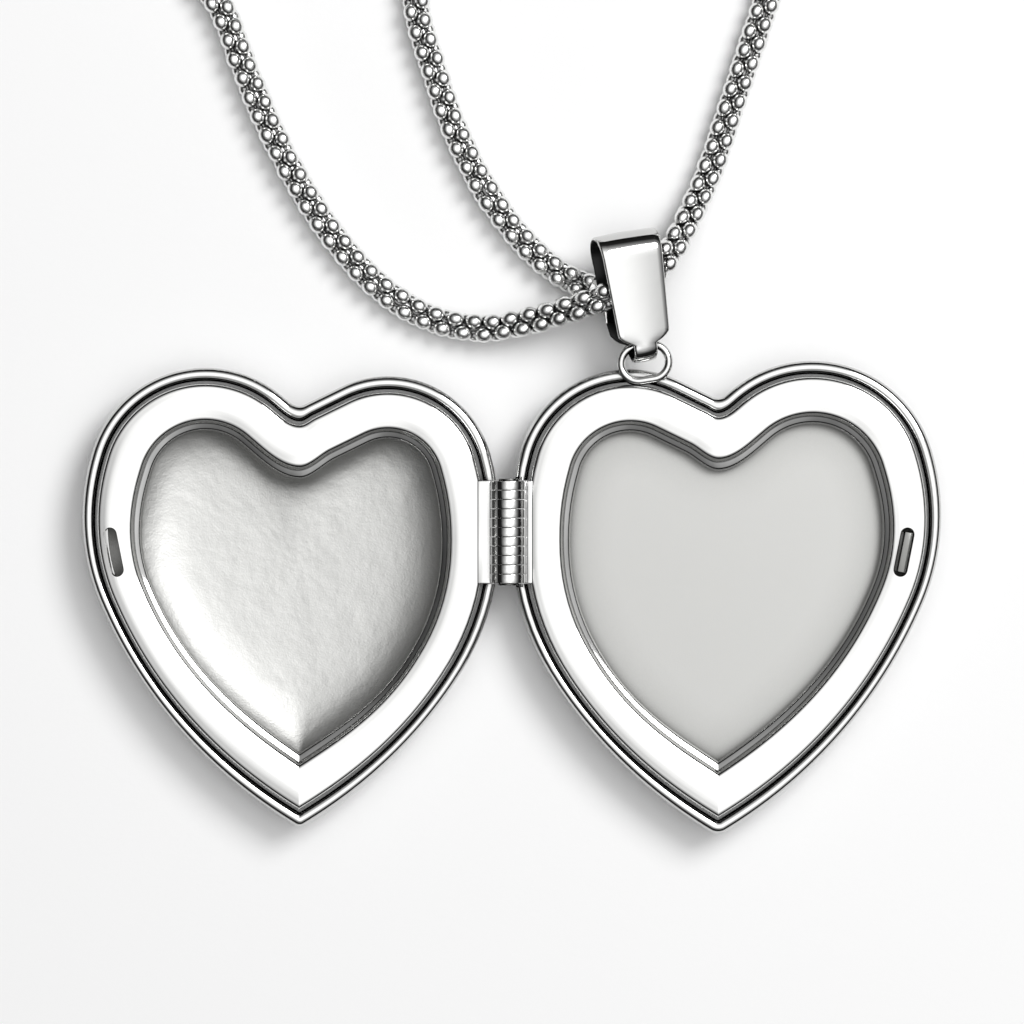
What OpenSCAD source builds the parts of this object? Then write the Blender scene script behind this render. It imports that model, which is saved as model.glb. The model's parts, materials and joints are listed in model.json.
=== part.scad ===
// Heart locket, lying open and flat, on a popcorn chain.
// Two stamped heart halves turn on a pin hinge. The back half carries the catch
// tongue and a soldered ring, the bail swings on that ring, and the chain runs
// through the bail. Millimetres, +Z up. The origin is on the ground under the
// middle of the back half's rest face. The hinge lies along Y, to the left.

/* [Heart outline] */
// Height of the tip corner, below the origin
tip_y = -13.65; // [-16:0.05:-12]
// Radius that blunts the tip
tip_r = 0.8; // [0.5:0.05:1.2]
// Direction of the outline's normal at the tip, in degrees
tip_angle = -58.8; // [-62:0.1:-55]
// Radius of the long flank above the tip
flank_r = 24.5; // [22:0.5:27]
// Where the flank turns into the side, as a normal direction in degrees
side_from = -23; // [-27:1:-20]
// Radius of the side
side_r = 11.25; // [10:0.25:12.5]
// Where the side turns into the lobe, as a normal direction in degrees
lobe_from = 17; // [12:1:22]
// Radius of the lobe
lobe_r = 6.25; // [5.6:0.05:6.6]
// The same four values on the hinge side, which is a little slimmer
hinge_side_from = -34; // [-36:1:-32]
// Radius of the side next to the hinge
hinge_side_r = 14; // [12:0.25:15]
// Start of the lobe next to the hinge
hinge_lobe_from = 16; // [12:1:20]
// Radius of the lobe next to the hinge
hinge_lobe_r = 5.7; // [5.3:0.05:6]
// Height of the bottom of the cleft
cleft_y = 8.1; // [7.9:0.05:8.4]
// Radius in the cleft
cleft_r = 0.6; // [0.4:0.05:0.65]
// How much the front half's outline stands inside the back half's
front_inset = 0.35; // [0:0.05:0.6]

/* [Section of a half] */
// Height of the frame's face above the ground
face_z = 3; // [2.6:0.1:3.6]
// Thickness of the domed shell at its middle
shell_wall = 0.5; // [0.35:0.05:0.6]
// Radius of the bead rolled along the shell's edge
bead_r = 0.33; // [0.25:0.01:0.4]
// How far the top of the bead lies below the frame's face
bead_drop = 0.5; // [0.45:0.05:0.7]
// Width of the dark groove between the bead and the frame
groove = 0.14; // [0.1:0.02:0.3]
// Width of the frame's flat face
frame_w = 1.9; // [1.6:0.05:2.2]
// Width of the bevel inside the frame
bevel_w = 0.45; // [0.3:0.05:0.6]
// Sheet thickness of the frame
frame_t = 0.35; // [0.3:0.05:0.45]
// Depth of the recess below the frame's face
recess = 1.05; // [0.9:0.05:1.2]
// Thickness of the plate and of the dish
plate_t = 0.45; // [0.3:0.05:0.5]

/* [Hinge] */
// Length of the row of knuckles
barrel_len = 5.1; // [4:0.1:6]
// Radius of the knuckles
barrel_r = 0.875; // [0.7:0.025:0.95]
// Height of the middle of the barrel above the origin
barrel_y = 1.4; // [0.5:0.1:2.5]
// Number of knuckles, odd, so that the back half has both ends
knuckles = 11; // [7:2:13]
// Radius of the hinge pin
pin_r = 0.3; // [0.25:0.01:0.4]

/* [Catch] */
// Distance of the catch from the middle of the heart
catch_x = 9.25; // [9.1:0.05:9.3]
// Height of the catch above the origin
catch_y = 0.4; // [-0.5:0.1:1.5]
// Length of the slot in either frame
slot_len = 2.5; // [2.2:0.1:3]
// Width of the slot in either frame
slot_w = 0.7; // [0.65:0.05:0.8]
// How far the tongue stands above the back frame
tongue_rise = 0.4; // [0.3:0.05:0.5]

/* [Bail] */
// Width of the bail's strap at its top
bail_top_w = 3.25; // [2.8:0.05:3.8]
// Width of the bail's strap above its neck
bail_low_w = 2.65; // [2.4:0.05:3]
// Width of the narrow neck that goes through the ring
neck_w = 1.5; // [1.3:0.05:1.55]
// Thickness of the bail's strap
strap_t = 0.25; // [0.2:0.01:0.28]
// Distance from the ring's wire to the far end of the bail
bail_len = 5.75; // [5.2:0.05:7]
// Lean of the ring and the bail from the Y axis, in degrees
bail_lean = 9.5; // [5:0.5:12]
// Thickness of the ring's wire
ring_wire = 0.4; // [0.35:0.01:0.45]
// Width over all of the ring
ring_w = 2.8; // [2.7:0.05:3]

/* [Chain] */
// Diameter of the chain
chain_d = 1.4; // [1.3:0.05:1.5]
// Mean diameter of the coil that the spare chain lies in
coil_d = 16.8; // [15:0.2:18]

/* [Hidden] */
$fn = 48;

// Clearances: turning pin, knuckle ends, knuckle sides, plates in the shells
pin_gap = 0.03;
end_gap = 0.03;
side_gap = 0.04;
plate_gap = 0.02;
// Gap between the two faces when the locket is shut
face_gap = 0.1;
// Sunk depth of a soldered joint, and what a cutting tool sticks out
solder = 0.02;
cut = 0.2;

silver = [0.84, 0.84, 0.83];
satin = [0.72, 0.72, 0.71];
shade = [0.55, 0.55, 0.55];

// ---- heart outline: tangent arcs from the tip round to the cleft ----
function unit(a) = [cos(a), sin(a)];
hinge_flat = 10.2;
hinge_x = hinge_flat + 0.25;
tip_c = [0, tip_y + tip_r];
flank_c = tip_c - (flank_r - tip_r) * unit(tip_angle);
cleft_c = [0, cleft_y + cleft_r];
// How much sharper the cleft of an inner ring is than an even inset
cleft_pinch = 0.16;
// How much wider than an even inset the flanks and sides of an inner ring are
flank_keep = 0.14;
// Where the flank hands over to the side, as a share of that widening's span
flank_share = 0.6;

// One side is [side start, side radius, lobe start, lobe radius].
outer_side = [side_from, side_r, lobe_from, lobe_r];
hinge_side = [hinge_side_from, hinge_side_r, hinge_lobe_from, hinge_lobe_r];

// Points from the tip to the cleft on the +X side, d inside the outline.
function half_outline(s, d) =
    let (
        side_c = flank_c + (flank_r - s[1]) * unit(s[0]),
        lobe_c = side_c + (s[1] - s[3]) * unit(s[2]),
        v = lobe_c - cleft_c,
        n = atan2(v.y, v.x) - acos(min(1, (s[3] + cleft_r) / norm(v))),
        blunt = max(tip_r - d, 0.05),
        tip = [0, flank_c.y - sqrt(pow(flank_r - d - blunt, 2) - pow(flank_c.x, 2))],
        a = atan2(tip.y - flank_c.y, tip.x - flank_c.x),
        keep = [for (u = [for (k = [0:6]) flank_share * k / 6,
                          for (k = [1:5]) flank_share + (1 - flank_share) * k / 5])
            flank_keep * d * pow(sin(180 * min(u, 1)), 1.5)]
    )
    concat(
        [tip + blunt * unit(-90)],
        [for (k = [0:6]) flank_c + (flank_r - d + keep[k]) * unit(a + (s[0] - a) * k / 6)],
        [for (k = [1:5])
            side_c + (s[1] - d + keep[6 + k]) * unit(s[0] + (s[2] - s[0]) * k / 5)],
        [for (k = [1:12]) lobe_c + (s[3] - d) * unit(s[2] + (n + 180 - s[2]) * k / 12)],
        [for (k = [0:4]) cleft_c + (cleft_r + d) * unit(n + (-90 - n) * k / 4)
            - [0, cleft_pinch * d * pow(k / 4, 2)]]
    );

// The whole ring of points, anticlockwise, flattened where the hinge sits.
function heart(d) =
    let (right = half_outline(outer_side, d), left = half_outline(hinge_side, d),
         m = len(left) - 1)
    concat(right, [for (k = [1:m - 1]) [
        max(-left[m - k].x, d * (1 - flank_keep) - hinge_flat), left[m - k].y]]);

// Sweeps a section of [inset, height] pairs round the heart. A closed section
// makes a heart-shaped band; an open one is capped at both ends.
module heart_sweep(section, inset = 0, band = false) {
    rings = len(section);
    n = len(heart(0));
    last = band ? rings : rings - 1;
    points = [for (s = section) for (p = heart(s[0] + inset)) [p.x, p.y, s[1]]];
    walls = [for (i = [0:last - 1]) for (k = [0:n - 1])
        let (j = (i + 1) % rings, l = (k + 1) % n)
        for (f = [[i * n + k, j * n + k, j * n + l], [i * n + k, j * n + l, i * n + l]]) f];
    caps = band ? [] : [[for (k = [0:n - 1]) k],
        [for (k = [n - 1:-1:0]) (rings - 1) * n + k]];
    polyhedron(points, concat(walls, caps), convexity = 6);
}

// A flat heart-shaped sheet.
module heart_sheet(d, z0, z1) translate([0, 0, z0]) linear_extrude(z1 - z0) polygon(heart(d));

// ---- section of a half ----
bead_z = face_z - bead_drop - bead_r;
seat_z = face_z - recess;
frame_d = 2 * bead_r + groove;
lip_d = frame_d + frame_w + bevel_w;
plate_d = 1.3;
flat_d = 5;
dome_end_d = 0.45;
dome_end_z = bead_z - bead_r;
step_d = plate_d + 0.35;
step_z = seat_z - plate_t;

// From the rest face up the dome, over the bead, and down inside to the floor.
shell_section = concat(
    [for (a = [0:15:90]) [flat_d - (flat_d - dome_end_d) * sin(a), dome_end_z * (1 - cos(a))]],
    [for (a = [-120:-60:-240]) [bead_r * (1 + cos(a)), bead_z + bead_r * sin(a)]],
    [for (a = [90:-45:0]) [bead_r * (1 + cos(a)), bead_z + bead_r * sin(a)]],
    [[2 * bead_r, seat_z], [plate_d, seat_z], [plate_d, step_z]],
    [for (a = [90:-22.5:0]) [flat_d - (flat_d - step_d) * sin(a),
        shell_wall + (step_z - shell_wall) * (1 - cos(a))]]
);

// Stamped channel: outer leg, face, bevel, inner leg, then back underneath.
frame_section = [
    [frame_d, seat_z], [frame_d, face_z - 0.22], [frame_d + 0.08, face_z - 0.07],
    [frame_d + 0.25, face_z], [frame_d + frame_w - 0.25, face_z],
    [frame_d + frame_w, face_z - 0.1], [lip_d - 0.06, seat_z + 0.35], [lip_d, seat_z],
    [lip_d - frame_t, seat_z], [lip_d - frame_t - 0.06, seat_z + 0.25],
    [frame_d + frame_w - frame_t, face_z - frame_t], [frame_d + frame_t, face_z - frame_t],
    [frame_d + frame_t, seat_z]
];

// Flange under the frame, then a bowl that follows the dome.
dish_section = concat(
    [for (a = [0:30:60]) [flat_d - 1.9 * sin(a), shell_wall + 0.1 + 0.8 * (1 - cos(a))]],
    [[lip_d - 0.1, step_z], [plate_d + plate_gap, step_z], [plate_d + plate_gap, seat_z]],
    [[lip_d + 0.05, seat_z]],
    [for (a = [75:-25:0]) [flat_d - (flat_d - lip_d - 0.15) * sin(a),
        shell_wall + 0.5 + 0.85 * (1 - cos(a))]]
);

// ---- hinge ----
axis_z = face_z + face_gap / 2;
pitch = barrel_len / knuckles;
leaf_x = barrel_r + side_gap;
leaf_t = 0.27;
leaf_z = face_z - 0.05;
web_x = pin_r + 0.15;
web_z = 0.5;
web_drop = 0.1;

// Puts a piece of the back half's pattern where the front half lies.
module to_front() translate([-2 * hinge_x, 0, 0]) mirror([1, 0, 0]) children();

// Space that the barrel needs beside either half.
module barrel_pocket() translate([-hinge_x, barrel_y, axis_z]) rotate([90, 0, 0])
    cylinder(r = barrel_r + side_gap, h = barrel_len + 2 * cut, center = true);

module leaf_notch(inset)
    translate([-hinge_x, barrel_y - barrel_len / 2 - side_gap, seat_z])
        cube([leaf_x + inset + leaf_t + plate_gap, barrel_len + 2 * side_gap, face_z]);

module hinge_leaf(inset) translate([leaf_x - hinge_x, barrel_y - barrel_len / 2, seat_z])
    cube([leaf_t + inset, barrel_len, leaf_z - seat_z]);

// Every second knuckle from the first, each with a web that meets the leaf.
module knuckle_row(first, bore) {
    for (k = [first:2:knuckles - 1])
        translate([-hinge_x, barrel_y - barrel_len / 2 + (k + 0.5) * pitch, axis_z])
            rotate([90, 0, 0]) difference() {
                union() {
                    cylinder(r = barrel_r, h = pitch - end_gap, center = true);
                    translate([web_x, -web_z, -(pitch - end_gap) / 2])
                        cube([leaf_x - web_x, web_z - web_drop, pitch - end_gap]);
                }
                cylinder(r = bore, h = pitch + cut, center = true);
            }
}

// ---- catch ----
// The slots follow the outline's own direction at their height.
side_c = flank_c + (flank_r - side_r) * unit(side_from);
catch_turn = atan2(catch_y - side_c.y, catch_x - side_c.x);
tongue_t = 0.3;
tongue_w = slot_len - 0.5;
foot_t = 0.15;
rib_r = 0.1;

module at_catch(z) translate([catch_x, catch_y, z]) rotate([0, 0, catch_turn]) children();

module slot_hole() at_catch(face_z - frame_t - cut) linear_extrude(frame_t + 2 * cut) {
    square([slot_w, slot_len - slot_w], center = true);
    for (s = [-1, 1]) translate([0, s * (slot_len - slot_w) / 2]) circle(d = slot_w);
}

// ---- bail ----
// The ring stands on the hinge-side lobe, in this direction from the lobe's centre.
ring_angle = 84.97;
ring_out = 1.208;
ring_z = face_z - bead_drop + ring_wire / 2 - solder;
hinge_side_c = flank_c + (flank_r - hinge_side_r) * unit(hinge_side_from);
hinge_lobe_c = hinge_side_c + (hinge_side_r - hinge_lobe_r) * unit(hinge_lobe_from);
ring_at = [-hinge_lobe_c.x, hinge_lobe_c.y] + (hinge_lobe_r + ring_out) * unit(ring_angle);
pivot = [ring_at.x, ring_at.y, ring_z];
ring_h = 2.15;
ring_r = (ring_h - ring_wire) / 2;
ring_side = (ring_w - ring_h) / 2;
bail_tilt = 3;
bail_roll = 15;
top_r = 1.15;
low_r = 0.8;
low_s = -0.05;
top_s = bail_len - top_r;
neck_s = 0.25;

// Outline of the bail from its side: two arcs and their outer tangents.
module teardrop(trim) {
    a = acos((top_r - low_r) / (top_s - low_s));
    big = top_r - trim;
    small = low_r - trim;
    translate([top_s, 0]) circle(big);
    translate([low_s, 0]) circle(small);
    polygon([
        [low_s - small * cos(a), small * sin(a)], [low_s - small * cos(a), -small * sin(a)],
        [top_s - big * cos(a), -big * sin(a)], [top_s - big * cos(a), big * sin(a)]
    ]);
}

// ---- chain route, in [x, y, height of the middle], x and y from the bail's top ----
ride = [pivot.x - top_s * sin(bail_lean), pivot.y + top_s * cos(bail_lean)];
function from_bail(route) = [for (p = route) [ride.x + p.x, ride.y + p.y, p.z]];
coil_c = [ride.x - 16.44, ride.y + 25.74];
coil_turns_wide = 4.25;
coil_turns_high = 2;
run_route = from_bail([
    [-27.04, 23.04, 1.9], [-26.24, 19.94, 1.4], [-24.44, 17.24, 0.9], [-22.14, 14.94, 0.7],
    [-20.34, 12.44, 0.7], [-19.24, 9.64, 0.7], [-18.04, 6.74, 0.7], [-16.44, 3.64, 0.7],
    [-14.44, 0.64, 0.7], [-12.14, -1.76, 0.7], [-9.74, -3.16, 0.75], [-7.24, -3.66, 1],
    [-5.14, -3.36, face_z - 1.4], [-3.24, -2.86, face_z - 0.6], [-1.64, -2.36, face_z],
    [-0.34, -1.86, face_z + 0.1], [0.76, -1.36, face_z - 0.15], [1.76, -0.46, face_z - 0.6],
    [2.56, 0.74, face_z - 1.2], [3.36, 2.34, 1.1], [4.26, 4.44, 0.75], [5.16, 7.14, 0.7],
    [6.16, 10.14, 0.7], [7.16, 13.14, 0.7], [7.96, 15.54, 0.8]
]);
tail_route = from_bail([
    [-5.79, 24.14, 0.7], [-6.44, 21.24, 0.7], [-8.14, 18.34, 0.7], [-9.94, 15.64, 0.7],
    [-10.54, 12.74, 0.7], [-9.74, 9.64, 0.7], [-8.64, 6.44, 0.7], [-7.14, 3.44, 0.7],
    [-5.24, 0.84, 0.7], [-3.34, -0.86, 0.7], [-1.44, -1.76, 0.8]
]);
chain_r = chain_d / 2;
tube_sides = 8;

// A tube whose rings stand square to the route.
module tube(route) {
    m = len(route) - 1;
    points = [for (i = [0:m])
        let (t = route[min(i + 1, m)] - route[max(i - 1, 0)], way = t / norm(t),
             side = cross([0, 0, 1], way), out = side / norm(side), up = cross(way, out))
        for (k = [0:tube_sides - 1])
            let (a = 360 * (k + 0.5) / tube_sides)
            route[i] + chain_r * (cos(a) * out + sin(a) * up)];
    walls = [for (i = [0:m - 1]) for (k = [0:tube_sides - 1])
        let (l = (k + 1) % tube_sides, a = i * tube_sides, b = a + tube_sides)
        for (f = [[a + k, a + l, b + l], [a + k, b + l, b + k]]) f];
    polyhedron(points, concat(walls, [[for (k = [tube_sides - 1:-1:0]) k],
        [for (k = [0:tube_sides - 1]) m * tube_sides + k]]), convexity = 10);
}

// ---- chain fittings ----
cap_wall = 0.1;
cap_r = chain_r + cap_wall;
tail_len = 1.5;
tail_end = tail_route[len(tail_route) - 1];
tail_turn = -26;
clasp_end = run_route[len(run_route) - 1];
clasp_turn = 71.5;
cap_len = 2;
eye_r = 0.5;
link_wire = 0.4;

module at_tail() translate([tail_end.x, tail_end.y, 0]) rotate([0, 0, tail_turn]) children();
module at_clasp() translate([clasp_end.x, clasp_end.y, 0]) rotate([0, 0, clasp_turn]) children();

module wire_ring(mean_r, wire) rotate_extrude() translate([mean_r, 0]) circle(d = wire);

// Cup that the chain's end is soldered into, with an eye on its far side.
module end_cup(length) {
    difference() {
        translate([-0.4, 0, cap_r]) rotate([0, 90, 0]) cylinder(r = cap_r, h = length);
        translate([-0.4 - cut, 0, cap_r]) rotate([0, 90, 0])
            cylinder(r = chain_r, h = cut + 0.4);
    }
    translate([length - 0.4 + eye_r - 0.1, 0, cap_r]) rotate([90, 0, 0])
        wire_ring(eye_r, 0.35);
}

// ---- clasp, laid out along its own +X from the link ring ----
clasp_t = 1.8;
clasp_x = 6.2;
jaw_c = [6.3, 0];
jaw_out = 2.6;
jaw_in = 1.5;
swivel_gap = 0.05;
post_r = 0.45;
rivet_r = 0.35;
rivet_at = [2.6, 1.1];
lever_tip = 7.5;
pocket_z = 0.5;

module clasp_place() at_clasp() translate([clasp_x, 0, 0]) children();

// The hook's outline, open on its +Y side where the lever closes it.
module hook_shape() difference() {
    union() {
        translate(jaw_c) circle(jaw_out);
        polygon([[0.2, 0.8], [0.2, -0.8], [jaw_c.x - 1.2, -2.1], [jaw_c.x - 1.2, 2.1],
            [1.6, 1.9]]);
    }
    translate(jaw_c) circle(jaw_in);
    translate([4.2, 0.85]) square([lever_tip + swivel_gap - 4.2, 3]);
}

module back_shell() color(silver) difference() {
    heart_sweep(shell_section);
    barrel_pocket();
    leaf_notch(0);
}

module back_frame() color(silver) difference() {
    heart_sweep(frame_section, band = true);
    slot_hole();
    leaf_notch(0);
}

module back_plate() color(satin) heart_sheet(plate_d + plate_gap, step_z, seat_z);

module back_hinge_leaf() color(silver) hinge_leaf(0);

module back_knuckles() color(silver) knuckle_row(0, pin_r);

// The pin's flattened heads stand against the end knuckles.
module hinge_pin() color(shade) translate([-hinge_x, barrel_y, axis_z]) rotate([90, 0, 0]) {
    cylinder(r = pin_r, h = barrel_len, center = true);
    for (s = [0, 180]) rotate([s, 0, 0])
        translate([0, 0, (barrel_len - end_gap) / 2]) cylinder(r = 0.5, h = 0.12);
}

module catch_foot() color(shade) at_catch(seat_z) translate([-0.3, -tongue_w / 2, 0])
    cube([0.6, tongue_w, foot_t]);

module catch_tongue() color(shade) at_catch(seat_z + foot_t + end_gap) {
    height = recess + tongue_rise - foot_t - end_gap;
    translate([-tongue_t / 2, -tongue_w / 2, 0]) cube([tongue_t, tongue_w, height]);
    translate([tongue_t / 2, 0, height - 0.2]) rotate([90, 0, 0])
        cylinder(r = rib_r, h = tongue_w, center = true);
}

// Soldered wire loop: two half rings joined by straight wires.
module bail_ring() color(silver) translate(pivot) rotate([0, 0, bail_lean])
    translate([0, -ring_r, 0]) {
        for (s = [-1, 1]) {
            translate([s * ring_side, 0, 0]) rotate([0, 0, -90 * s])
                rotate_extrude(angle = 180) translate([ring_r, 0]) circle(d = ring_wire);
            translate([0, s * ring_r, 0]) rotate([0, 90, 0])
                cylinder(d = ring_wire, h = 2 * ring_side, center = true);
        }
    }

module front_shell() color(silver) to_front() difference() {
    heart_sweep(shell_section, front_inset);
    barrel_pocket();
    leaf_notch(front_inset);
}

module front_frame() color(silver) to_front() difference() {
    heart_sweep(frame_section, front_inset, true);
    slot_hole();
    leaf_notch(front_inset);
}

module front_dish() color(satin) to_front() heart_sweep(dish_section, front_inset);

module front_hinge_leaf() color(silver) to_front() hinge_leaf(front_inset);

module front_knuckles() color(silver) to_front() knuckle_row(1, pin_r + pin_gap);

module bail() color(silver) translate(pivot) rotate([0, 0, bail_lean])
    rotate([bail_tilt, 0, 0]) rotate([0, bail_roll, 0]) intersection() {
        rotate([90, 0, 90]) linear_extrude(bail_top_w + 1, center = true) difference() {
            teardrop(0);
            teardrop(strap_t);
        }
        translate([0, 0, -2]) linear_extrude(4) union() {
            translate([0, -1.5]) square([neck_w, 6], center = true);
            polygon([
                [-bail_low_w / 2, neck_s], [bail_low_w / 2, neck_s],
                [bail_top_w / 2, bail_len + 0.1], [-bail_top_w / 2, bail_len + 0.1]
            ]);
        }
    }

module chain_run() color(shade) tube(run_route);

module chain_tail() color(shade) tube(tail_route);

// Outer shape of the hank of spare chain.
module chain_coil() color(shade) translate([coil_c.x, coil_c.y, 0]) rotate_extrude()
    translate([(coil_d - coil_turns_wide * chain_d) / 2, 0])
        square([coil_turns_wide * chain_d, coil_turns_high * chain_d]);

module tail_cap() color(silver) at_tail() end_cup(tail_len);

module tail_ring() color(silver) at_tail() translate([2.3, 0, cap_r]) wire_ring(0.8, link_wire);

module clasp_cap() color(silver) at_clasp() end_cup(cap_len);

module clasp_link_ring() color(silver) at_clasp() translate([3.45, 0, cap_r])
    wire_ring(1.45, link_wire);

// Loop and headed post that turn in the clasp's tail.
module clasp_swivel() color(silver) clasp_place() translate([0, 0, clasp_t / 2]) {
    translate([-1.1, 0, 0]) rotate([90, 0, 0]) wire_ring(0.65, link_wire);
    translate([-0.4, 0, 0]) rotate([0, 90, 0]) cylinder(r = post_r - swivel_gap, h = 1.4);
}

module clasp_body() color(silver) clasp_place() difference() {
    linear_extrude(clasp_t) hook_shape();
    translate([-cut, 0, clasp_t / 2]) rotate([0, 90, 0]) cylinder(r = post_r, h = 1.3 + cut);
    translate([1.5, -1, pocket_z]) cube([3.5, 4, clasp_t - 2 * pocket_z]);
    translate([rivet_at.x, rivet_at.y, -cut]) cylinder(r = rivet_r, h = clasp_t + 2 * cut);
}

// Closes the gap in the hook; the thumb tab stands out beside it.
module clasp_lever() color(silver) clasp_place() translate([0, 0, pocket_z + swivel_gap])
    linear_extrude(clasp_t - 2 * (pocket_z + swivel_gap)) difference() {
        union() {
            translate(rivet_at) circle(0.65);
            translate([rivet_at.x, 0.95]) square([lever_tip - rivet_at.x, 0.6]);
            translate([1.7, 1.1]) square([0.8, 1.9]);
        }
        translate(rivet_at) circle(rivet_r + pin_gap);
    }

module clasp_rivet() color(shade) clasp_place() translate([rivet_at.x, rivet_at.y, 0])
    cylinder(r = rivet_r, h = clasp_t);

// Leaf spring that pushes the lever shut.
module clasp_spring() color(shade) clasp_place() translate([1.5, 0.2, pocket_z + swivel_gap])
    cube([2.5, 0.15, clasp_t - 2 * (pocket_z + swivel_gap)]);

back_shell();
back_frame();
back_plate();
back_hinge_leaf();
back_knuckles();
hinge_pin();
catch_foot();
catch_tongue();
bail_ring();
front_shell();
front_frame();
front_dish();
front_hinge_leaf();
front_knuckles();
bail();
chain_run();
chain_tail();
chain_coil();
tail_cap();
tail_ring();
clasp_cap();
clasp_link_ring();
clasp_swivel();
clasp_body();
clasp_lever();
clasp_rivet();
clasp_spring();
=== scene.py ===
# %% [markdown]
# # A heart locket on its chain
# An open silver locket lies on a pale table. The camera looks straight down. The frame gives
# every piece its place and size; this script gives each one its fine shape and its finish.

# %%
import json
import math
import bmesh
import bpy
import numpy as np
from mathutils import Matrix, Vector
from mathutils.noise import fractal, noise


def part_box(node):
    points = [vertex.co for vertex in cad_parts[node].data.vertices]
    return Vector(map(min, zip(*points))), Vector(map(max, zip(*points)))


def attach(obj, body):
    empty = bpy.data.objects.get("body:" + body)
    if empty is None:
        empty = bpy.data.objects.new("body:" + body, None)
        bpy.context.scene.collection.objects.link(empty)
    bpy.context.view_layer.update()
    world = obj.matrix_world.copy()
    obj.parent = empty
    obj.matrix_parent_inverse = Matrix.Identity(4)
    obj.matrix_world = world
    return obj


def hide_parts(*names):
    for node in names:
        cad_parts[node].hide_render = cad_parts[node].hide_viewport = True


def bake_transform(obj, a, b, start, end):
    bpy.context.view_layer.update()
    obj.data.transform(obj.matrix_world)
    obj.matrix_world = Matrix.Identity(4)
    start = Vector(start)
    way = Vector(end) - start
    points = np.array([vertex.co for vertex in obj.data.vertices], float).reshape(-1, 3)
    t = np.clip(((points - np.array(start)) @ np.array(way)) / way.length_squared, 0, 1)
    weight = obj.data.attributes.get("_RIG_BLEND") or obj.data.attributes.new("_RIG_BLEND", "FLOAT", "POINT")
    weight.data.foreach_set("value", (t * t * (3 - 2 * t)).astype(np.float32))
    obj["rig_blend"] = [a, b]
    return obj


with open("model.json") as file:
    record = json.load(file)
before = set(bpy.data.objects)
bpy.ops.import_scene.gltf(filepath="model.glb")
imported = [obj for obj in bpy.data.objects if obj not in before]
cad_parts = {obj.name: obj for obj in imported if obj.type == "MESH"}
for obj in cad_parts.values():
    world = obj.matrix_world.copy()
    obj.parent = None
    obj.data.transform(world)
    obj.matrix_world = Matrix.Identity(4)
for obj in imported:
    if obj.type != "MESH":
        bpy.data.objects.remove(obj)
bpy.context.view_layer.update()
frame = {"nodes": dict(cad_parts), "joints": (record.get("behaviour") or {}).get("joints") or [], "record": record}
MM = 0.001
TAU = 2 * math.pi

# %% [markdown]
# ## Camera
# A still-life camera on a copy stand, straight above the open halves. The lens is long, so the
# raised edges don't lean away from the middle.

# %%
FIELD = 51.2 * MM
LENS = 200
SENSOR = 36
locket_low = np.minimum(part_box("front_shell")[0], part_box("back_shell")[0])
locket_high = np.maximum(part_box("front_shell")[1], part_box("back_shell")[1])
look_at = Vector(((locket_low[0] + locket_high[0]) / 2, 2.4 * MM, 2 * MM))

camera = bpy.data.objects.new("camera", bpy.data.cameras.new("camera"))
bpy.context.scene.collection.objects.link(camera)
camera.data.lens = LENS
camera.data.sensor_width = SENSOR
camera.data.dof.use_dof = False
camera.data.clip_start = 0.01
camera.location = look_at + Vector((0, 0, FIELD * LENS / SENSOR))
bpy.context.scene.camera = camera
print("camera", [round(v / MM, 1) for v in camera.location], "mm")

# %% [markdown]
# ## The chain's route
# The chain is one limp cord with a fitting at each end. From its small end ring, under the bail,
# it runs up the table to a neat coil, comes back, passes over its own end and through the bail,
# and goes on to the clasp. Lying chain keeps its bends wide and its humps low.

# %%
CHAIN_D = 1.4 * MM
TAIL_ROUTE = [
    (-6, 13.5, 0.8), (-7.9, 14.4, 0.7), (-9.8, 16.1, 0.7), (-11.7, 18.7, 0.7),
    (-13.2, 21.7, 0.7), (-14.3, 24.9, 0.7), (-15.1, 28, 0.7), (-14.5, 30.9, 0.7),
    (-12.7, 33.6, 0.7), (-11, 36.5, 0.7), (-10.35, 39.4, 0.7),
]
RUN_ROUTE = [
    (-31.6, 38.3, 1.9), (-30.8, 35.2, 1.4), (-29, 32.5, 0.9), (-26.7, 30.2, 0.7),
    (-24.9, 27.7, 0.7), (-23.8, 24.9, 0.7), (-22.6, 22, 0.7), (-21, 18.9, 0.7),
    (-19, 15.9, 0.7), (-16.7, 13.5, 0.7), (-14.3, 12.1, 0.75), (-11.8, 11.6, 1),
    (-9.7, 11.9, 1.6), (-7.8, 12.4, 2.4), (-6.2, 12.9, 3), (-4.9, 13.4, 3.1),
    (-3.8, 13.9, 2.85), (-2.8, 14.8, 2.4), (-2, 16, 1.8), (-1.2, 17.6, 1.1),
    (-0.3, 19.7, 0.75), (0.6, 22.4, 0.7), (1.6, 25.4, 0.7), (2.6, 28.4, 0.7),
    (3.4, 30.8, 0.8),
]
coil_low, coil_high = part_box("chain_coil")
coil_centre = (np.array(coil_low) + np.array(coil_high)) / 2
# Mean radius of the coil, just inside the edge of the CAD's own.
COIL_R = 8.37 * MM
TURNS = 6.5
LINK_STEP = 0.51 * MM


def coil_points(steps=40):
    """One flat spiral inward on the table, then one back outward on top of it."""
    points = []
    for i in range(int(TURNS * steps) + 1):
        turn = i / steps
        inward = min(turn, TURNS - turn)
        rise = min(max((turn - TURNS / 2) / 0.3 + 0.5, 0), 1)
        radius = COIL_R + CHAIN_D * (TURNS / 4 - inward)
        points.append((coil_centre[0] + radius * math.cos(TAU * turn),
                       coil_centre[1] + radius * math.sin(TAU * turn),
                       (0.5 + rise) * CHAIN_D))
    return points


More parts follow.
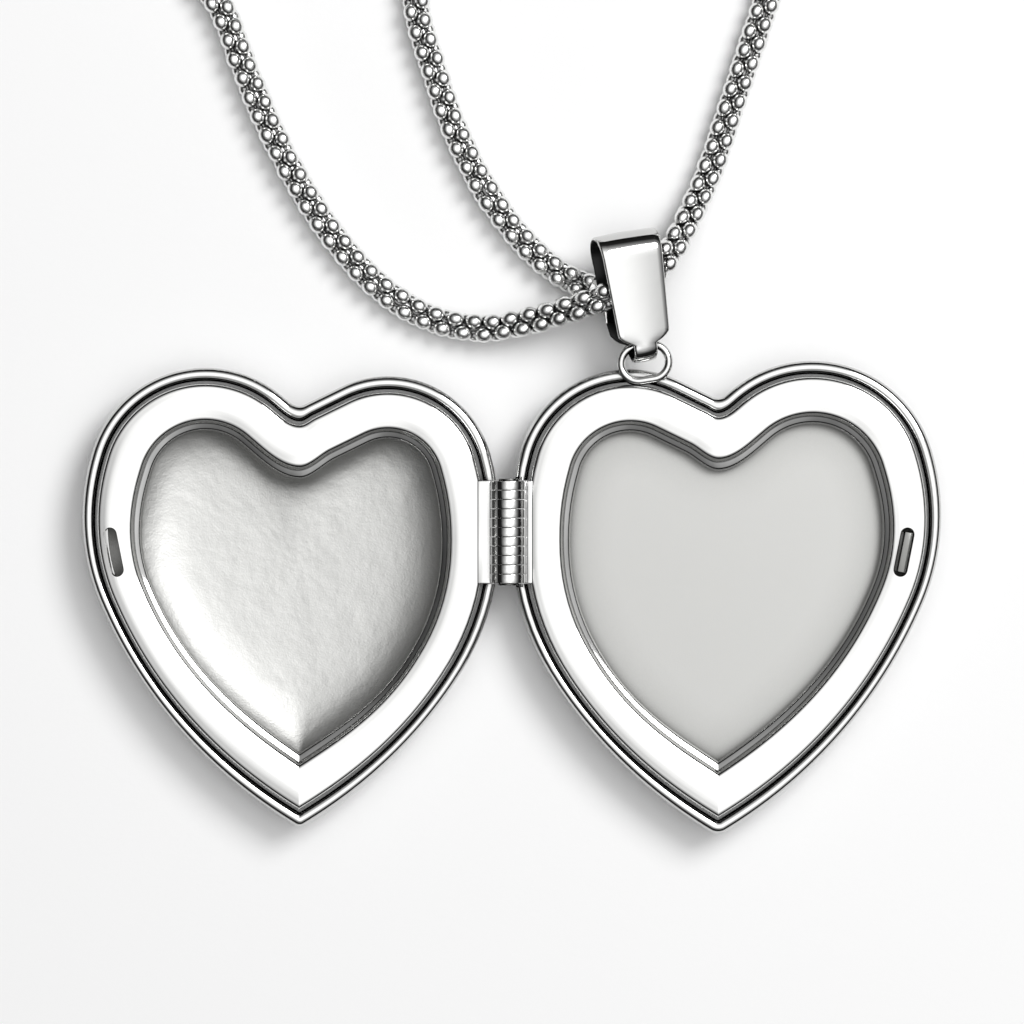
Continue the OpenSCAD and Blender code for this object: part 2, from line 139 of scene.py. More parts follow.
def catmull(points, step):
    """A smooth curve through the points, resampled evenly."""
    p = np.array([2 * np.array(points[0]) - points[1]] + [np.array(q) for q in points]
                 + [2 * np.array(points[-1]) - points[-2]])
    fine = []
    for i in range(1, len(p) - 2):
        for t in np.linspace(0, 1, 24, endpoint=False):
            a, b, c, d = p[i - 1], p[i], p[i + 1], p[i + 2]
            fine.append(0.5 * (2 * b + (c - a) * t + (2 * a - 5 * b + 4 * c - d) * t ** 2
                               + (3 * b - a - 3 * c + d) * t ** 3))
    fine = np.array(fine + [p[-2]])
    reach = np.r_[0, np.cumsum(np.linalg.norm(np.diff(fine, axis=0), axis=1))]
    even = np.linspace(0, reach[-1], int(reach[-1] / step) + 1)
    return np.array([np.interp(even, reach, fine[:, k]) for k in range(3)]).T


tail = [tuple(MM * v for v in p) for p in TAIL_ROUTE]
run = [tuple(MM * v for v in p) for p in RUN_ROUTE]
# The coil's first point takes the place of the tail's last, so that the bend isn't pinched.
chain_line = catmull(tail[:-1] + coil_points() + run, LINK_STEP)

# %% [markdown]
# ## Helpers for finishes
# A finish is a small node tree. Colours are written as sRGB codes and turned into linear light.
# Pattern sizes are given in millimetres of the real surface, in the locket's own coordinates.

# %%
def linear(code):
    """An sRGB colour code as linear light."""
    values = [int(code[i:i + 2], 16) / 255 for i in (1, 3, 5)]
    return [v / 12.92 if v <= 0.04045 else ((v + 0.055) / 1.055) ** 2.4 for v in values] + [1]


def per_mm(size):
    """The texture scale at which one cell of a pattern is this many millimetres wide."""
    return 1 / (size * MM)


def add(tree, kind, links=None, **settings):
    """Adds a node. Capitalised settings are its inputs, the others its own options."""
    made = tree.nodes.new("ShaderNode" + kind)
    for name, value in settings.items():
        if name[0].isupper():
            made.inputs[name.replace("_", " ")].default_value = value
        else:
            setattr(made, name, value)
    for name, socket in (links or {}).items():
        tree.links.new(socket, made.inputs[name])
    return made


def new_material(name, roughness, metallic=1):
    """A plain material, its tree and its Principled shader."""
    material = bpy.data.materials.new(name)
    material.use_nodes = True
    shader = material.node_tree.nodes["Principled BSDF"]
    shader.inputs["Metallic"].default_value = metallic
    shader.inputs["Roughness"].default_value = roughness
    return material, material.node_tree, shader


def surface_bump(tree, shader, cell, height, detail, before=None):
    """Fine relief: cells this wide and this high, in millimetres."""
    place = add(tree, "TexCoord")
    pattern = add(tree, "TexNoise", {"Vector": place.outputs["Object"]},
                  Scale=per_mm(cell), Detail=detail)
    links = {"Height": pattern.outputs["Fac"]}
    if before:
        links["Normal"] = before.outputs["Normal"]
    relief = add(tree, "Bump", links, Distance=height * MM, Strength=1)
    tree.links.new(relief.outputs["Normal"], shader.inputs["Normal"])
    return relief


def crevice_shade(tree, shader, open_code, deep_code, reach, low, high):
    """Paints shade into the base colour: darker in crevices and near walls within this many mm, by ambient
    occlusion.
    """
    hollow = add(tree, "AmbientOcclusion", Distance=reach * MM, samples=8)
    ramp = add(tree, "ValToRGB", {"Fac": hollow.outputs["AO"]})
    ramp.color_ramp.elements[0].position = low
    ramp.color_ramp.elements[0].color = linear(deep_code)
    ramp.color_ramp.elements[1].position = high
    ramp.color_ramp.elements[1].color = linear(open_code)
    tree.links.new(ramp.outputs["Color"], shader.inputs["Base Color"])


# %% [markdown]
# ## Finishes
# Rhodium plated silver, buffed to a mirror: frames, beads, barrel, bail and clasp. A buffing wheel
# leaves a very slight waviness. Its colour is painted darker in the grooves, as shade.

# %%
silver, tree, shader = new_material("silver_mirror_buffed", roughness=0.07)
# Painted shade: darker in the grooves and hollows within 0.45 mm.
crevice_shade(tree, shader, "#CDCDCC", "#343434", 0.45, 0.2, 0.85)
surface_bump(tree, shader, cell=1.6, height=0.004, detail=2)

# The flat plate is blasted with fine glass beads, which gives an even satin.
satin, tree, shader = new_material("silver_satin_bead_blasted", roughness=0.58)
# Painted shade: the plate's colour darkens towards the walls around it, within 2.2 mm, as their shadow.
crevice_shade(tree, shader, "#C0C0BE", "#4A4A48", 2.2, 0.3, 0.97)
surface_bump(tree, shader, cell=0.05, height=0.003, detail=2)

# The dish is thin stamped sheet, matt and softly crinkled like pressed foil.
crinkled, tree, shader = new_material("silver_satin_crinkled", roughness=0.5)
# Painted shade: the dish's colour darkens under the frame's edges and in its hollows.
crevice_shade(tree, shader, "#C4C4C2", "#4A4A48", 1.2, 0.3, 0.92)
grain = surface_bump(tree, shader, cell=0.35, height=0.013, detail=4)
surface_bump(tree, shader, cell=0.1, height=0.009, detail=3, before=grain)

# The chain's stamped cups are tumble polished. Their colour is painted darker between the cups, as shade.
chain_metal, tree, shader = new_material("silver_tumble_polished", roughness=0.24)
crevice_shade(tree, shader, "#ECECEB", "#3A3A3A", 0.3, 0.25, 0.75)
surface_bump(tree, shader, cell=0.25, height=0.012, detail=2)

# Pin, springs and the catch tongue are drawn stainless wire and strip, a little greyer.
steel, tree, shader = new_material("steel_drawn_strip", roughness=0.25)
# Painted shade: darker in the crevices of pin, springs and tongue.
crevice_shade(tree, shader, "#7A7A78", "#1C1C1C", 0.5, 0.3, 0.9)
surface_bump(tree, shader, cell=0.12, height=0.004, detail=2)

# The strap's inner faces are coloured a dark grey.
bail_inside_dark, tree, shader = new_material("silver_dark_inside", roughness=0.4)
shader.inputs["Base Color"].default_value = linear("#2A2A2A")
surface_bump(tree, shader, cell=0.1, height=0.004, detail=2)

FINISH = {"polished_silver": silver, "satin_plate": satin, "crinkled_satin": crinkled,
          "chain_silver": chain_metal, "spring_steel": steel}
SLOTS = {part["node"]: part["material_slot"] for part in frame["record"]["subparts"]}
BODY = {node: body for body, nodes in frame["record"]["behaviour"]["bodies"].items()
        for node in nodes}
print("finishes", [m.name for m in FINISH.values()])

# %% [markdown]
# ## Helpers for shapes
# A piece is made in the frame's own place and size, gets its finish, and rides on the body of its
# CAD node.

# %%
def make_mesh(name, points, faces, closed=True):
    """A mesh object from points in metres."""
    mesh = bpy.data.meshes.new(name)
    mesh.from_pydata([tuple(p) for p in points], [], [tuple(f) for f in faces])
    shape = bmesh.new()
    shape.from_mesh(mesh)
    if closed:
        bmesh.ops.recalc_face_normals(shape, faces=shape.faces)
    shape.to_mesh(mesh)
    shape.free()
    piece = bpy.data.objects.new(name, mesh)
    bpy.context.scene.collection.objects.link(piece)
    return piece


def smooth(piece, limit=35):
    """Smooth faces, with sharp edges where the surface turns by more than the limit."""
    shape = bmesh.new()
    shape.from_mesh(piece.data)
    for face in shape.faces:
        face.smooth = True
    for edge in shape.edges:
        turn = edge.calc_face_angle(math.pi)
        edge.smooth = turn < math.radians(limit)
    shape.to_mesh(piece.data)
    shape.free()


def settle(piece, *nodes):
    """Gives a piece its finish and hides the CAD nodes that it stands for."""
    piece.data.materials.clear()
    piece.data.materials.append(FINISH[SLOTS[nodes[0]]])
    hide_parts(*nodes)


def cut_away(piece, tool):
    """Takes the tool's volume out of the piece."""
    cutter = piece.modifiers.new("cut", "BOOLEAN")
    cutter.operation = "DIFFERENCE"
    cutter.solver = "EXACT"
    cutter.object = tool
    graph = bpy.context.evaluated_depsgraph_get()
    mesh = bpy.data.meshes.new_from_object(piece.evaluated_get(graph))
    piece.modifiers.clear()
    piece.data = mesh
    bpy.data.objects.remove(tool)


def refined(node, rounding, limit=28):
    """A copy of a CAD node with its edges rounded, as tumbling leaves them."""
    mesh = frame["nodes"][node].data.copy()
    piece = bpy.data.objects.new(node + "_fine", mesh)
    bpy.context.scene.collection.objects.link(piece)
    shape = bmesh.new()
    shape.from_mesh(mesh)
    bmesh.ops.remove_doubles(shape, verts=shape.verts, dist=0.002 * MM)
    bmesh.ops.dissolve_limit(shape, angle_limit=math.radians(0.5), verts=shape.verts,
                             edges=shape.edges)
    sharp = [e for e in shape.edges if e.calc_face_angle(0) > math.radians(limit)]
    if rounding:
        bmesh.ops.bevel(shape, geom=sharp, offset=rounding * MM, segments=3, profile=0.5,
                        affect="EDGES", clamp_overlap=True)
    shape.to_mesh(mesh)
    shape.free()
    smooth(piece, limit)
    settle(piece, node)
    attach(piece, BODY[node])
    return piece


# %% [markdown]
# ## The heart outline
# A die maker draws the heart from arcs that meet without a corner: a long flank, a side, a lobe and
# the cleft. A ring d inside the outline uses the same centres. The side next to the hinge is slimmer.

# %%
TIP_R, FLANK_R, CLEFT_R = 0.8, 24.5, 0.6
TIP_C = np.array([0, -12.85])
CLEFT_C = np.array([0, 8.7])
FREE_SIDE = (-23, 11.25, 17, 6.25)
HINGE_SIDE = (-34, 14, 16, 5.7)
HINGE_FLAT, FLAT_BLEND, HINGE_X = 10.2, 0.12, 10.45
CLEFT_PINCH, FLANK_KEEP, FLANK_SHARE = 0.16, 0.14, 0.6
FRONT_INSET = 0.35


def unit(angle):
    """The direction at an angle in degrees."""
    return np.array([math.cos(math.radians(angle)), math.sin(math.radians(angle))])


FLANK_C = TIP_C - (FLANK_R - TIP_R) * unit(-58.8)


def widening(d, share):
    """How much wider than an even inset a ring is, along its flank and side."""
    return FLANK_KEEP * d * max(math.sin(math.pi * share), 0) ** 1.5


def half_outline(side, d):
    """Points from the tip to the cleft, d millimetres inside the outline.

    A side is its start angle and radius, then the lobe's start angle and radius.
    """
    start, side_r, lobe_from, lobe_r = side
    side_c = FLANK_C + (FLANK_R - side_r) * unit(start)
    lobe_c = side_c + (side_r - lobe_r) * unit(lobe_from)
    v = lobe_c - CLEFT_C
    reach = min(1, (lobe_r + CLEFT_R) / math.hypot(*v))
    turn = math.degrees(math.atan2(v[1], v[0]) - math.acos(reach))
    blunt = max(TIP_R - d, 0.05)
    tip_y = FLANK_C[1] - math.sqrt((FLANK_R - d - blunt) ** 2 - FLANK_C[0] ** 2)
    first = math.degrees(math.atan2(tip_y - FLANK_C[1], -FLANK_C[0]))
    points = [np.array([0, tip_y]) + blunt * unit(a) for a in np.linspace(-90, first, 5)[:-1]]
    for k in np.linspace(0, 1, 31):
        wider = widening(d, FLANK_SHARE * k)
        points.append(FLANK_C + (FLANK_R - d + wider) * unit(first + (start - first) * k))
    for k in np.linspace(0, 1, 17)[1:]:
        wider = widening(d, FLANK_SHARE + (1 - FLANK_SHARE) * k)
        points.append(side_c + (side_r - d + wider) * unit(start + (lobe_from - start) * k))
    for k in np.linspace(0, 1, 49)[1:]:
        points.append(lobe_c + (lobe_r - d) * unit(lobe_from + (turn + 180 - lobe_from) * k))
    for k in np.linspace(0, 1, 17):
        pinch = np.array([0, CLEFT_PINCH * d * k * k * (3 - 2 * k)])
        points.append(CLEFT_C + (CLEFT_R + d) * unit(turn + (-90 - turn) * k) - pinch)
    return np.array(points)


def heart(d):
    """The whole ring in millimetres, anticlockwise from the tip, flat beside the hinge."""
    right = half_outline(FREE_SIDE, d)
    left = half_outline(HINGE_SIDE, d)[-2:0:-1]
    over = HINGE_FLAT - d * (1 - FLANK_KEEP) - left[:, 0]
    left[:, 0] += 0.5 * (over - np.sqrt(over ** 2 + FLAT_BLEND ** 2))
    return np.concatenate([right, left * [-1, 1]])


def placed(points, mirrored):
    """Millimetres in the back half's pattern to metres in the scene."""
    points = np.array(points, float)
    if mirrored:
        points[:, 0] = -2 * HINGE_X - points[:, 0]
    return points * MM


def heart_loft(name, section, inset, mirrored, band=False):
    """Sweeps [inset, height] pairs round the heart. A band's section closes on itself."""
    rings = [np.c_[heart(d + inset), np.full(len(heart(0)), z)] for d, z in section]
    n, count = len(rings[0]), len(rings)
    faces = []
    for i in range(count if band else count - 1):
        j = (i + 1) % count
        for k in range(n):
            m = (k + 1) % n
            faces.append((i * n + k, j * n + k, j * n + m, i * n + m))
    if not band:
        faces.append(tuple(range(n)))
        faces.append(tuple((count - 1) * n + k for k in range(n - 1, -1, -1)))
    return make_mesh(name, placed(np.concatenate(rings), mirrored), faces)


print("outline", len(heart(0)), "points,", np.ptp(heart(0), axis=0).round(1), "mm")

# %% [markdown]
# ## Sections of a half
# Each half is a stamped dome with a bead rolled along its edge. A polished channel-shaped frame sits
# inside the bead with a fine groove between them, and its inner bevel drops to the plate or dish.

# %%
FACE_Z, SEAT_Z, STEP_Z = 3.0, 1.95, 1.5
BEAD_R, BEAD_Z = 0.33, 2.17
FRAME_D, FRAME_W, FRAME_T, LIP_D = 0.8, 1.9, 0.35, 3.15
PLATE_D, FLAT_D = 1.3, 5


def bow(centre, radii, start, end, steps):
    """Points on an ellipse's arc, angles in degrees."""
    turns = np.radians(np.linspace(start, end, steps))
    return [(centre[0] + radii[0] * math.cos(a), centre[1] + radii[1] * math.sin(a))
            for a in turns]


dome = bow((FLAT_D, 1.84), (4.55, 1.84), 270, 180, 20)
bead = bow((BEAD_R, BEAD_Z), (BEAD_R, BEAD_R), 240, 0, 25)
inside = bow((FLAT_D, STEP_Z), (3.35, 1.0), 180, 270, 12)
SHELL = dome + bead + [(2 * BEAD_R, SEAT_Z), (PLATE_D, SEAT_Z), (PLATE_D, STEP_Z)] + inside

SHOULDER = 0.24
inner_d = FRAME_D + FRAME_W
crown = [(FRAME_D + SHOULDER + t * (FRAME_W - 2 * SHOULDER), FACE_Z - 0.07 * (2 * t - 1) ** 2)
         for t in np.linspace(0, 1, 11)]
outer_edge = bow((FRAME_D + SHOULDER, FACE_Z - 0.31), (SHOULDER, 0.24), 180, 105, 7)
inner_edge = bow((inner_d - SHOULDER, FACE_Z - 0.31), (SHOULDER, 0.24), 75, 25, 6)
ledge = [(inner_d + 0.03, 2.72), (inner_d + 0.06, 2.64), (inner_d + 0.12, 2.605),
         (inner_d + 0.3, 2.565), (LIP_D - 0.08, 2.52), (LIP_D - 0.03, 2.44), (LIP_D, 2.32),
         (LIP_D, SEAT_Z)]
under = [(LIP_D - FRAME_T, SEAT_Z), (inner_d, 2.2), (inner_d - FRAME_T, 2.6),
         (FRAME_D + FRAME_T, 2.6), (FRAME_D + FRAME_T, SEAT_Z)]
CHANNEL = [(FRAME_D, SEAT_Z), (FRAME_D, 2.4)] + outer_edge + crown + inner_edge + ledge + under


# %% [markdown]
# ## Notches and slots
# A saw cuts the notch for the barrel before the knuckle strip is soldered in. A slitting punch makes
# the catch slot, which follows the outline's direction.

# %%
BARREL_R, BARREL_LEN, BARREL_Y, AXIS_Z = 0.875, 5.1, 1.4, 3.05
SIDE_GAP, PLATE_GAP, LEAF_T = 0.04, 0.02, 0.27
POCKET_R = BARREL_R + SIDE_GAP
CATCH = (9.25, 0.4)
SLOT_LEN, SLOT_W = 2.5, 0.7
side_c = FLANK_C + (FLANK_R - FREE_SIDE[1]) * unit(FREE_SIDE[0])
CATCH_TURN = math.atan2(CATCH[1] - side_c[1], CATCH[0] - side_c[0])


def prism(name, outline, low, high, mirrored):
    """A straight block over a flat outline in millimetres."""
    n = len(outline)
    points = [(x, y, z) for z in (low, high) for x, y in outline]
    faces = [tuple(range(n)), tuple(range(2 * n - 1, n - 1, -1))]
    faces += [(k, (k + 1) % n, n + (k + 1) % n, n + k) for k in range(n)]
    return make_mesh(name, placed(points, mirrored), faces)


def notch_tool(inset, mirrored):
    """The saw's path for the strip that carries the knuckles."""
    far = POCKET_R + inset + LEAF_T + PLATE_GAP - HINGE_X
    half = BARREL_LEN / 2 + SIDE_GAP
    outline = [(-12, BARREL_Y - half), (far, BARREL_Y - half),
               (far, BARREL_Y + half), (-12, BARREL_Y + half)]
    return prism("notch", outline, SEAT_Z + 0.001, 4, mirrored)


def slot_tool(mirrored):
    """The punch for the catch slot, with round ends."""
    ring = []
    for start, y in ((0, (SLOT_LEN - SLOT_W) / 2), (180, -(SLOT_LEN - SLOT_W) / 2)):
        for a in np.linspace(start, start + 180, 13):
            ring.append(SLOT_W / 2 * unit(a) + (0, y))
    c, s = math.cos(CATCH_TURN), math.sin(CATCH_TURN)
    outline = [(CATCH[0] + c * x - s * y, CATCH[1] + s * x + c * y) for x, y in ring]
    return prism("slot", outline, 2.4, 4, mirrored)


def pocket_tool(mirrored):
    """The round cutter that makes room for the barrel."""
    n = 48
    reach = BARREL_LEN / 2 + 0.2
    ring = [(-HINGE_X + POCKET_R * math.cos(a), AXIS_Z + POCKET_R * math.sin(a))
            for a in np.linspace(0, TAU, n, endpoint=False)]
    points = [(x, BARREL_Y + y, z) for y in (-reach, reach) for x, z in ring]
    faces = [tuple(range(n)), tuple(range(2 * n - 1, n - 1, -1))]
    faces += [(k, (k + 1) % n, n + (k + 1) % n, n + k) for k in range(n)]
    return make_mesh("pocket", placed(points, mirrored), faces)


# %% [markdown]
# ## The two halves
# The back half lies on the right and the front half, a touch smaller, is its mirror image.

# %%
for half, inset, mirrored in (("back", 0, False), ("front", FRONT_INSET, True)):
    body = BODY[half + "_shell"]
    shell = heart_loft(half + "_shell_fine", SHELL, inset, mirrored)
    cut_away(shell, pocket_tool(mirrored))
    cut_away(shell, notch_tool(inset, mirrored))
    channel = heart_loft(half + "_frame_fine", CHANNEL, inset, mirrored, band=True)
    cut_away(channel, slot_tool(mirrored))
    cut_away(channel, notch_tool(inset, mirrored))
    for piece, node in ((shell, half + "_shell"), (channel, half + "_frame")):
        smooth(piece)
        settle(piece, node)
        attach(piece, body)
    print(half, "half:", len(shell.data.polygons) + len(channel.data.polygons), "faces")

# %% [markdown]
# ## Plate and dish
# The back half holds a flat satin plate. The front half holds a bowl pressed from thin sheet, which
# crinkles a little as it's drawn. The bowl goes on past its rings to a middle point, gently deeper.

# %%
edge_d = PLATE_D + PLATE_GAP
plate = heart_loft("back_plate_fine", [(edge_d, STEP_Z), (edge_d, SEAT_Z)], 0, False)
smooth(plate)
settle(plate, "back_plate")
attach(plate, "back_half")

BOWL_C = np.array([0, -0.6])
LIP_Z, MIDDLE_Z = 1.93, 0.93
SHEET_T = 0.2


def bowl_rings():
    """Rings from the flange over the lip, down the bowl and in to its middle."""
    rings = []
    for d in np.linspace(edge_d, LIP_D - 0.15, 4):
        rings.append(np.c_[heart(d + FRONT_INSET), np.full(len(heart(0)), LIP_Z)])
    edge = rings[-1][:, :2]
    even = edge.copy()
    for _ in range(90):
        even = 0.5 * even + 0.25 * (np.roll(even, 1, axis=0) + np.roll(even, -1, axis=0))
    for share in np.r_[np.linspace(1, 0.86, 16)[1:], np.linspace(0.86, 0.02, 60)[1:]]:
        z = MIDDLE_Z + (LIP_Z - MIDDLE_Z) * (0.72 * share ** 9 + 0.28 * share ** 2)
        line = even + (edge - even) * share ** 7
        rings.append(np.c_[BOWL_C + (line - BOWL_C) * share, np.full(len(edge), z)])
    return rings


rings = bowl_rings()
n = len(rings[0])
for ring in rings[5:]:
    for p in ring:
        here = Vector((p[0], p[1], 0))
        p[2] += 0.014 * fractal(here * 0.8, 0.9, 2.1, 3) + 0.003 * noise(here * 3.1)
faces = [(i * n + k, i * n + (k + 1) % n, (i + 1) * n + (k + 1) % n, (i + 1) * n + k)
         for i in range(len(rings) - 1) for k in range(n)]
faces.append(tuple((len(rings) - 1) * n + k for k in range(n)))
top = np.concatenate(rings)
bottom = top - [0, 0, SHEET_T]
both = np.concatenate([top, bottom])
under_faces = [tuple(len(top) + v for v in reversed(f)) for f in faces]
rim = [(k, len(top) + k, len(top) + (k + 1) % n, (k + 1) % n) for k in range(n)]
dish = make_mesh("front_dish_fine", placed(both, True), faces + under_faces + rim)
smooth(dish, 60)
settle(dish, "front_dish")
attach(dish, "front_half")
print("dish", len(dish.data.polygons), "faces")

# %% [markdown]
# ## Hinge, catch and chain fittings
# The knuckles are cut from tube and tumbled, so each has a small round on its ends. Small fittings
# are cast or bent from wire, and tumbling softens them in the same way.

# %%
ROUNDING = {
    "back_knuckles": 0.05, "front_knuckles": 0.05, "hinge_pin": 0.03,
    "back_hinge_leaf": 0.04, "front_hinge_leaf": 0.04, "catch_tongue": 0.03,
    "bail_ring": 0, "tail_cap": 0.03, "tail_ring": 0, "clasp_cap": 0.03,
    "clasp_link_ring": 0, "clasp_swivel": 0, "clasp_body": 0.15, "clasp_lever": 0.05,
    "clasp_rivet": 0.05, "clasp_spring": 0.02, "catch_foot": 0.02,
}
for node, rounding in ROUNDING.items():
    fine = refined(node, rounding)
    print(node, len(fine.data.polygons), "faces")

# The lever's arm needs a little more room at the end of its pocket when it's pressed in.
joints = {joint["name"]: joint for joint in frame["joints"]}
rivet = np.array(joints["lever_press"]["pos_m"][:2]) / MM
along = np.array(joints["clasp_turn"]["axis"][:2])
side = np.array([-along[1], along[0]])
corners = [(2.2, -0.6), (2.7, -0.6), (2.7, 0.3), (2.2, 0.3)]
room = prism("room", [rivet + a * along + b * side for a, b in corners], 0.5, 1.3, False)
clasp_body = bpy.data.objects["clasp_body_fine"]
cut_away(clasp_body, room)
smooth(clasp_body, 28)

# %% [markdown]
# ## Bail
# A strap cut to a taper, crowned across, bent round a mandrel into a drop shape and closed at the
# ring. Its neck is narrow, so that it swings inside the ring.

# %%
BAIL_LEN, TOP_R, LOW_R, LOW_S = 5.75, 1.15, 0.8, -0.05
TOP_W, LOW_W, NECK_W, STRAP_T = 3.25, 2.65, 1.2, 0.25
TOP_S = BAIL_LEN - TOP_R
PIVOT = Vector(joints["bail_swing"]["pos_m"])
LEAN, TILT, ROLL = (math.radians(angle) for angle in (9.5, 3, 15))
BAIL_TURN = (Matrix.Rotation(LEAN, 4, "Z") @ Matrix.Rotation(TILT, 4, "X")
             @ Matrix.Rotation(ROLL, 4, "Y"))


def strap_width(s):
    """Full width at a distance from the ring, narrow at the neck."""
    wide = LOW_W + (TOP_W - LOW_W) * max(s - 0.25, 0) / (BAIL_LEN - 0.15)
    share = min(max((s - 0.1) / 0.45, 0), 1)
    return NECK_W + (wide - NECK_W) * share ** 0.5


# Two arcs and their common tangents, each point with the direction that it faces.
meet = 180 - math.degrees(math.acos((TOP_R - LOW_R) / (TOP_S - LOW_S)))
line = [(TOP_S, TOP_R, a) for a in np.linspace(-meet, meet, 33)]
line += [(LOW_S, LOW_R, a) for a in np.linspace(meet, 360 - meet, 25)]
loop = [(s + r * math.cos(math.radians(a)), r * math.sin(math.radians(a)), a)
        for s, r, a in line]
path = []
for here, there in zip(loop, loop[1:] + loop[:1]):
    gap = math.hypot(there[0] - here[0], there[1] - here[1])
    steps = max(1, round(gap / 0.16))
    for k in range(steps):
        path.append(np.array(here) * (1 - k / steps) + np.array(there) * k / steps)
# Width of the rounded edge, and how far the crown falls towards it.
EDGE, FALL = 0.09, 0.05
strap = []
for s, h, turn in path:
    half = strap_width(s) / 2
    flat = half - EDGE
    ring = [(-half, -EDGE * 1.3 - FALL), (-half + 0.03, -0.03 - FALL)]
    ring += [(t * flat, -FALL * t * t) for t in np.linspace(-1, 1, 13)]
    ring += [(half - 0.03, -0.03 - FALL), (half, -EDGE * 1.3 - FALL)]
    ring += [(half, -STRAP_T + 0.04), (half - 0.05, -STRAP_T)]
    ring += [(-half + 0.05, -STRAP_T), (-half, -STRAP_T + 0.04)]
    out_s, out_h = math.cos(math.radians(turn)), math.sin(math.radians(turn))
    strap.append([(v, s + out_s * b, h + out_h * b) for v, b in ring])
m, n = len(strap), len(strap[0])
faces = [(i * n + k, ((i + 1) % m) * n + k, ((i + 1) % m) * n + (k + 1) % n, i * n + (k + 1) % n)
         for i in range(m) for k in range(n)]
points = [BAIL_TURN @ Vector(p) * MM + PIVOT for ring in strap for p in ring]
bail = make_mesh("bail_fine", points, faces)
smooth(bail, 50)
settle(bail, "bail")
bail.data.materials.append(bail_inside_dark)
# The last four faces round the strap, on its inner side, take the dark grey.
INNER_FACES = 4
for face in bail.data.polygons:
    face.material_index = int(face.index % n >= n - INNER_FACES)
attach(bail, "bail")
print("bail", len(bail.data.polygons), "faces")

# %% [markdown]
# ## Popcorn chain
# Small cups are stamped in pairs, back to back, and each pair is linked a quarter turn from the
# last. From above they show as two rows of beads, half a step apart. A thin core joins them.

# %%
def ball(level):
    """Points and faces of a unit ball."""
    shape = bmesh.new()
    bmesh.ops.create_icosphere(shape, subdivisions=level, radius=1)
    points = np.array([v.co for v in shape.verts])
    faces = np.array([[v.index for v in f.verts] for f in shape.faces])
    shape.free()
    return points, faces


BALLS = {2: ball(2), 3: ball(3)}
CUP = np.array([0.46, 0.39, 0.4]) * MM
CUP_OUT = 0.315 * CHAIN_D
CORE_R = 0.24 * CHAIN_D
CORE_SIDES = 6
# Links from the coil's edge to the clasp, and how far up the table the beads are made finest.
RUN_LINKS = 240
SEEN_Y = look_at.y + 0.56 * FIELD
wobble = np.random.default_rng(7)


def chain_frames():
    """Direction, side and up at every link."""
    way = np.gradient(chain_line, axis=0)
    way /= np.linalg.norm(way, axis=1)[:, None]
    side = np.cross((0, 0, 1), way)
    side /= np.linalg.norm(side, axis=1)[:, None]
    return way, side, np.cross(way, side)


ways, sides, ups = chain_frames()
points, faces, count = [], [], 0
for i, centre in enumerate(chain_line):
    turn = math.pi / 4 + math.pi / 2 * (i % 2) + wobble.normal(0, 0.05)
    out = math.cos(turn) * sides[i] + math.sin(turn) * ups[i]
    third = np.cross(ways[i], out)
    for sign in (1, -1):
        upward = sign * out[2] > 0
        level = 3 if centre[1] < SEEN_Y and upward else 2
        base, triangles = BALLS[level]
        size = CUP * (1 + wobble.normal(0, 0.02, 3))
        slip = ways[i] * wobble.normal(0, 0.015) * MM
        local = base * size
        spot = centre + sign * out * CUP_OUT + slip
        points.append(spot + local[:, :1] * ways[i] + local[:, 1:2] * out + local[:, 2:] * third)
        faces.append(triangles + count)
        count += len(base)
start = count
for i, centre in enumerate(chain_line):
    for k in range(CORE_SIDES):
        a = TAU * k / CORE_SIDES
        points.append((centre + CORE_R * (math.cos(a) * sides[i] + math.sin(a) * ups[i]))[None])
        count += 1
links = len(chain_line)
core_faces = []
for i in range(links - 1):
    here, there = start + i * CORE_SIDES, start + (i + 1) * CORE_SIDES
    for k in range(CORE_SIDES):
        m = (k + 1) % CORE_SIDES
        core_faces.append((here + k, here + m, there + m, there + k))
points = np.concatenate(points)
points[:, 2] = np.maximum(points[:, 2], 0.004 * MM)
faces = [tuple(f) for part in faces for f in part.tolist()] + core_faces
chain = make_mesh("popcorn_chain", points, faces, closed=False)
for face in chain.data.polygons:
    face.use_smooth = True
settle(chain, "chain_run", "chain_tail", "chain_coil")
print("chain", len(chain.data.polygons), "faces")

# The strand in the bail lifts with it. The tail's cap stays on the table, and its strand with it.
along = Vector((-math.sin(LEAN), math.cos(LEAN), 0))
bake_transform(chain, "bail", "back_half", PIVOT + along * 4 * MM, PIVOT + along * 12 * MM)
share = chain.data.attributes["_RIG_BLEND"]
values = np.zeros(len(points), np.float32)
share.data.foreach_get("value", values)
cup_owner = []
for i, centre in enumerate(chain_line):
    upper = centre[1] < SEEN_Y
    cup_owner += [i] * (len(BALLS[3 if upper else 2][0]) + len(BALLS[2][0]))
owner = np.array(cup_owner + [i for i in range(links) for _ in range(CORE_SIDES)])
values[owner < links - RUN_LINKS] = 1
share.data.foreach_set("value", values)

# %% [markdown]
# ## Table, light and surroundings
# Polished silver is lit in a white tent: bright above, with dark openings low down that draw
# dark lines along every round edge. One soft lamp stands at the upper right.

# %%
FLOOR = 1.5
floor_mesh = bpy.data.meshes.new("table_top")
floor_mesh.from_pydata([(-FLOOR, -FLOOR, 0), (FLOOR, -FLOOR, 0), (FLOOR, FLOOR, 0),
                        (-FLOOR, FLOOR, 0)], [], [(0, 1, 2, 3)])
floor = bpy.data.objects.new("table_top", floor_mesh)
bpy.context.scene.collection.objects.link(floor)
paper, tree, shader = new_material("paper_matt_white", roughness=0.8, metallic=0)
shader.inputs["Base Color"].default_value = linear("#F7F7F7")
shader.inputs["Specular IOR Level"].default_value = 0.2
surface_bump(tree, shader, cell=0.3, height=0.004, detail=2)
floor.data.materials.append(paper)

world = bpy.data.worlds.new("white_tent")
bpy.context.scene.world = world
world.use_nodes = True
sky = world.node_tree
direction = add(sky, "TexCoord")
